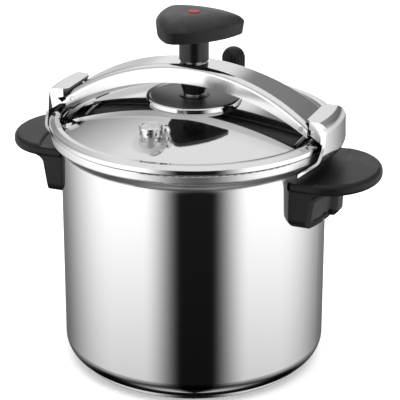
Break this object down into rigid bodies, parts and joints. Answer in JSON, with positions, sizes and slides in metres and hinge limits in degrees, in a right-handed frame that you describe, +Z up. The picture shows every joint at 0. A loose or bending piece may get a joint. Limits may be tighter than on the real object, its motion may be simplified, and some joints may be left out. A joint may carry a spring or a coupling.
{
  "type": "pressure canner",
  "caption": "Steel pressure canner with a domed lid clamped by an arched yoke, pivoting claws and a screw knob; black side handles and lid valves.",
  "frame": {"origin": "centre of the bottom face, on the table", "axes": "+X along the yoke and handles, +Z up, the safety valve towards -Y"},
  "size_m": [0.35, 0.26, 0.3271],
  "materials": {
    "pot_steel": "polished sheet",
    "base_steel": "polished sheet",
    "base_core": "as cast",
    "lid_steel": "mirror polished",
    "yoke_steel": "mirror polished",
    "claw_steel": "mirror polished",
    "pin_steel": "ground",
    "screw_steel": "turned",
    "foot_black": "black oxide",
    "knob_plastic": "fine matt",
    "knob_spot": "gloss",
    "fixing_zinc": "zinc plated",
    "handle_plastic": "satin phenolic",
    "gasket_rubber": "matt",
    "valve_steel": "polished, turned",
    "spring_steel": "drawn wire",
    "regulator_plastic": "satin"
  },
  "bodies": {
    "pot": {"pot_body": "pot_steel", "base_core": "base_core", "base_cap": "base_steel", "bracket_left": "fixing_zinc", "bracket_right": "fixing_zinc", "handle_left": "handle_plastic", "handle_right": "handle_plastic", "handle_bolts": "fixing_zinc"},
    "lid": {"lid": "lid_steel", "lid_boss_plate": "lid_steel", "lid_gasket": "gasket_rubber", "lid_pivot_stud": "pin_steel", "foot_washer": "screw_steel", "valve_body": "valve_steel", "valve_cap": "valve_steel", "valve_spring": "spring_steel", "valve_seal": "gasket_rubber", "valve_nut": "valve_steel", "valve_keeper": "valve_steel", "nozzle": "valve_steel", "nozzle_seal": "gasket_rubber", "nozzle_nut": "valve_steel"},
    "clamp": {"clamp_screw": "screw_steel", "screw_foot": "foot_black", "knob": "knob_plastic", "knob_washer": "fixing_zinc", "knob_nut": "fixing_zinc", "knob_spot": "knob_spot"},
    "yoke": {"yoke": "yoke_steel", "yoke_bush": "screw_steel", "claw_pin_left": "pin_steel", "claw_pin_right": "pin_steel"},
    "claw_left": {"claw_left": "claw_steel"},
    "claw_right": {"claw_right": "claw_steel"},
    "plunger": {"valve_plunger": "valve_steel"},
    "regulator": {"regulator_grip": "regulator_plastic"},
    "weight": {"regulator_weight": "valve_steel"}
  },
  "joints": [
    {"name": "lid_turn", "type": "hinge", "parent": "pot", "child": "lid", "pos_m": [0, 0, 0.2215], "axis": [0, 0, 1], "range_deg": [-180, 180]},
    {"name": "knob_turn", "type": "hinge", "parent": "lid", "child": "clamp", "pos_m": [0, 0, 0.2523], "axis": [0, 0, 1], "range_deg": [-180, 180]},
    {"name": "yoke_rise", "type": "slide", "parent": "lid", "child": "yoke", "axis": [0, 0, 1], "range_m": [-0.00151, 0.00151]},
    {"name": "claw_right_swing", "type": "hinge", "parent": "yoke", "child": "claw_right", "pos_m": [0.1095, 0, 0.2396], "axis": [0, -1, 0], "range_deg": [0, 20]},
    {"name": "claw_left_swing", "type": "hinge", "parent": "yoke", "child": "claw_left", "pos_m": [-0.1095, 0, 0.2396], "axis": [0, 1, 0], "range_deg": [0, 20]},
    {"name": "plunger_lift", "type": "slide", "parent": "lid", "child": "plunger", "axis": [0, 0, 1], "range_m": [0, 0.0012], "stiffness_N_per_m": 3000, "springref_m": -0.001, "deforming": ["valve_spring"]},
    {"name": "regulator_turn", "type": "hinge", "parent": "lid", "child": "regulator", "pos_m": [0.004, 0.088, 0.24], "axis": [0, 0, 1], "range_deg": [0, 90]},
    {"name": "weight_lift", "type": "slide", "parent": "lid", "child": "weight", "axis": [0, 0, 1], "range_m": [0, 0.002]}
  ],
  "couplings": [
    {"joint": "yoke_rise", "follows": "knob_turn", "m_per_rad": -0.00047746}
  ]
}
